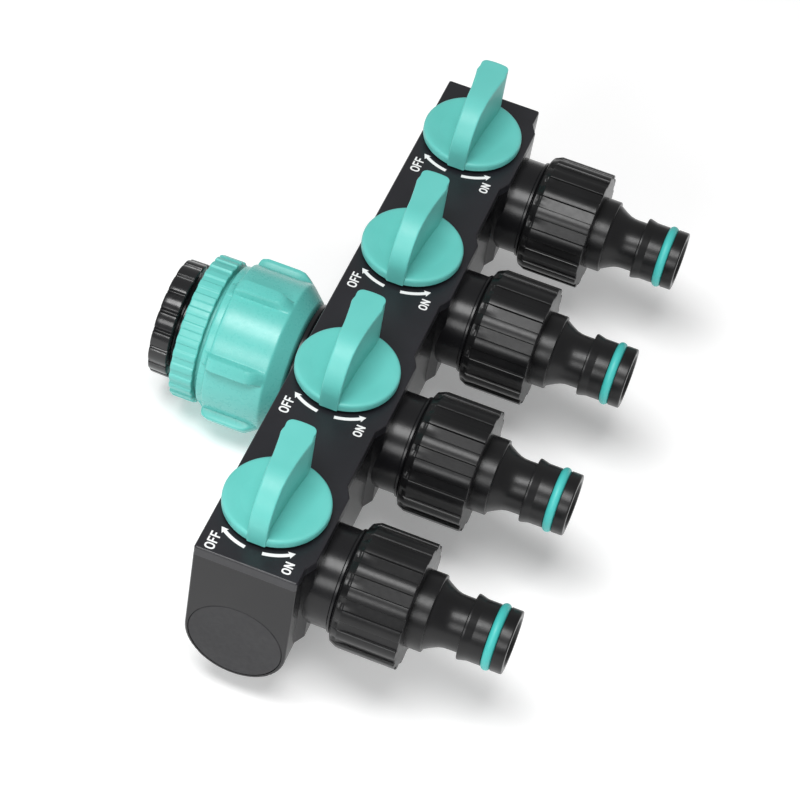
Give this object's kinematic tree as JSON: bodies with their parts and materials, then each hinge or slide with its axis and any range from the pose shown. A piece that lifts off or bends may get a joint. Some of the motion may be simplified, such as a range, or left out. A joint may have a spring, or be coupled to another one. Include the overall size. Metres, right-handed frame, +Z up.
{
  "type": "hose splitter",
  "caption": "Garden hose splitter: a straight manifold with turn-knob valves, screw-on quick-connect outlets and a swivel-nut tap inlet with stepped thread adapters.",
  "frame": {"origin": "centre of the inlet mouth, on the inlet thread's axis", "axes": "+X from the inlet towards the outlets, Y along the manifold with y = 0 at mid-length, +Z up along the knob axes; the gallery axis is 1.25 mm below the inlet axis"},
  "size_m": [0.1195, 0.1814, 0.0693],
  "materials": {
    "black_shell": "satin moulded",
    "black_cover": "satin moulded",
    "black_plug": "fine matte moulded",
    "black_tail": "gloss moulded",
    "black_reducer": "gloss moulded",
    "black_adapter": "satin moulded",
    "teal_knob": "satin moulded",
    "teal_nut": "satin moulded",
    "teal_reducer": "satin moulded",
    "teal_rubber": "satin",
    "seal_rubber": "matte",
    "white_core": "smooth moulded"
  },
  "bodies": {
    "housing": {"manifold_housing": "black_shell", "top_cover": "black_cover", "end_plug": "black_plug", "inlet_tail": "black_tail", "tail_seal": "seal_rubber", "swivel_washer": "seal_rubber", "port_seal_1": "seal_rubber", "port_seal_2": "seal_rubber", "port_seal_3": "seal_rubber", "port_seal_4": "seal_rubber"},
    "swivel_nut": {"swivel_nut": "teal_nut"},
    "large_reducer_washer": {"large_reducer_washer": "seal_rubber"},
    "large_reducer": {"large_reducer": "teal_reducer"},
    "tap_washer": {"tap_washer": "seal_rubber"},
    "small_reducer": {"small_reducer": "black_reducer"},
    "valve_1": {"control_knob_1": "teal_knob", "valve_core_1": "white_core", "core_seal_1": "seal_rubber"},
    "outlet_washer_1": {"outlet_washer_1": "seal_rubber"},
    "outlet_adapter_1": {"outlet_adapter_1": "black_adapter", "nipple_o_ring_1": "teal_rubber"},
    "valve_2": {"control_knob_2": "teal_knob", "valve_core_2": "white_core", "core_seal_2": "seal_rubber"},
    "outlet_washer_2": {"outlet_washer_2": "seal_rubber"},
    "outlet_adapter_2": {"outlet_adapter_2": "black_adapter", "nipple_o_ring_2": "teal_rubber"},
    "valve_3": {"control_knob_3": "teal_knob", "valve_core_3": "white_core", "core_seal_3": "seal_rubber"},
    "outlet_washer_3": {"outlet_washer_3": "seal_rubber"},
    "outlet_adapter_3": {"outlet_adapter_3": "black_adapter", "nipple_o_ring_3": "teal_rubber"},
    "valve_4": {"control_knob_4": "teal_knob", "valve_core_4": "white_core", "core_seal_4": "seal_rubber"},
    "outlet_washer_4": {"outlet_washer_4": "seal_rubber"},
    "outlet_adapter_4": {"outlet_adapter_4": "black_adapter", "nipple_o_ring_4": "teal_rubber"}
  },
  "joints": [
    {"name": "knob_1_turn", "type": "hinge", "parent": "housing", "child": "valve_1", "pos_m": [0.0558, 0.0711, 0], "axis": [0, 0, 1], "range_deg": [0, 90]},
    {"name": "knob_2_turn", "type": "hinge", "parent": "housing", "child": "valve_2", "pos_m": [0.0558, 0.0237, 0], "axis": [0, 0, 1], "range_deg": [0, 90]},
    {"name": "knob_3_turn", "type": "hinge", "parent": "housing", "child": "valve_3", "pos_m": [0.0558, -0.0237, 0], "axis": [0, 0, 1], "range_deg": [0, 90]},
    {"name": "knob_4_turn", "type": "hinge", "parent": "housing", "child": "valve_4", "pos_m": [0.0558, -0.0711, 0], "axis": [0, 0, 1], "range_deg": [0, 90]},
    {"name": "adapter_1_advance", "type": "slide", "parent": "housing", "child": "outlet_washer_1", "axis": [1, 0, 0], "range_m": [0, 0.01089]},
    {"name": "adapter_1_unscrew", "type": "hinge", "parent": "outlet_washer_1", "child": "outlet_adapter_1", "pos_m": [0.0558, 0.0711, 0.01165], "axis": [1, 0, 0], "range_deg": [0, 2160]},
    {"name": "adapter_2_advance", "type": "slide", "parent": "housing", "child": "outlet_washer_2", "axis": [1, 0, 0], "range_m": [0, 0.01089]},
    {"name": "adapter_2_unscrew", "type": "hinge", "parent": "outlet_washer_2", "child": "outlet_adapter_2", "pos_m": [0.0558, 0.0237, 0.01165], "axis": [1, 0, 0], "range_deg": [0, 2160]},
    {"name": "adapter_3_advance", "type": "slide", "parent": "housing", "child": "outlet_washer_3", "axis": [1, 0, 0], "range_m": [0, 0.01089]},
    {"name": "adapter_3_unscrew", "type": "hinge", "parent": "outlet_washer_3", "child": "outlet_adapter_3", "pos_m": [0.0558, -0.0237, 0.01165], "axis": [1, 0, 0], "range_deg": [0, 2160]},
    {"name": "adapter_4_advance", "type": "slide", "parent": "housing", "child": "outlet_washer_4", "axis": [1, 0, 0], "range_m": [0, 0.01089]},
    {"name": "adapter_4_unscrew", "type": "hinge", "parent": "outlet_washer_4", "child": "outlet_adapter_4", "pos_m": [0.0558, -0.0711, 0.01165], "axis": [1, 0, 0], "range_deg": [0, 2160]},
    {"name": "swivel_nut_spin", "type": "hinge", "parent": "housing", "child": "swivel_nut", "pos_m": [0, 0, 0], "axis": [1, 0, 0], "continuous": true},
    {"name": "large_reducer_advance", "type": "slide", "parent": "swivel_nut", "child": "large_reducer_washer", "axis": [-1, 0, 0], "range_m": [0, 0.01155]},
    {"name": "large_reducer_unscrew", "type": "hinge", "parent": "large_reducer_washer", "child": "large_reducer", "pos_m": [0, 0, 0], "axis": [-1, 0, 0], "range_deg": [0, 1800]},
    {"name": "small_reducer_advance", "type": "slide", "parent": "large_reducer", "child": "tap_washer", "axis": [-1, 0, 0], "range_m": [0, 0.00727]},
    {"name": "small_reducer_unscrew", "type": "hinge", "parent": "tap_washer", "child": "small_reducer", "pos_m": [0, 0, 0], "axis": [-1, 0, 0], "range_deg": [0, 1440]}
  ],
  "couplings": [
    {"joint": "adapter_1_advance", "follows": "adapter_1_unscrew", "m_per_rad": 0.00028871},
    {"joint": "adapter_2_advance", "follows": "adapter_2_unscrew", "m_per_rad": 0.00028871},
    {"joint": "adapter_3_advance", "follows": "adapter_3_unscrew", "m_per_rad": 0.00028871},
    {"joint": "adapter_4_advance", "follows": "adapter_4_unscrew", "m_per_rad": 0.00028871},
    {"joint": "large_reducer_advance", "follows": "large_reducer_unscrew", "m_per_rad": 0.00036749},
    {"joint": "small_reducer_advance", "follows": "small_reducer_unscrew", "m_per_rad": 0.00028871}
  ]
}
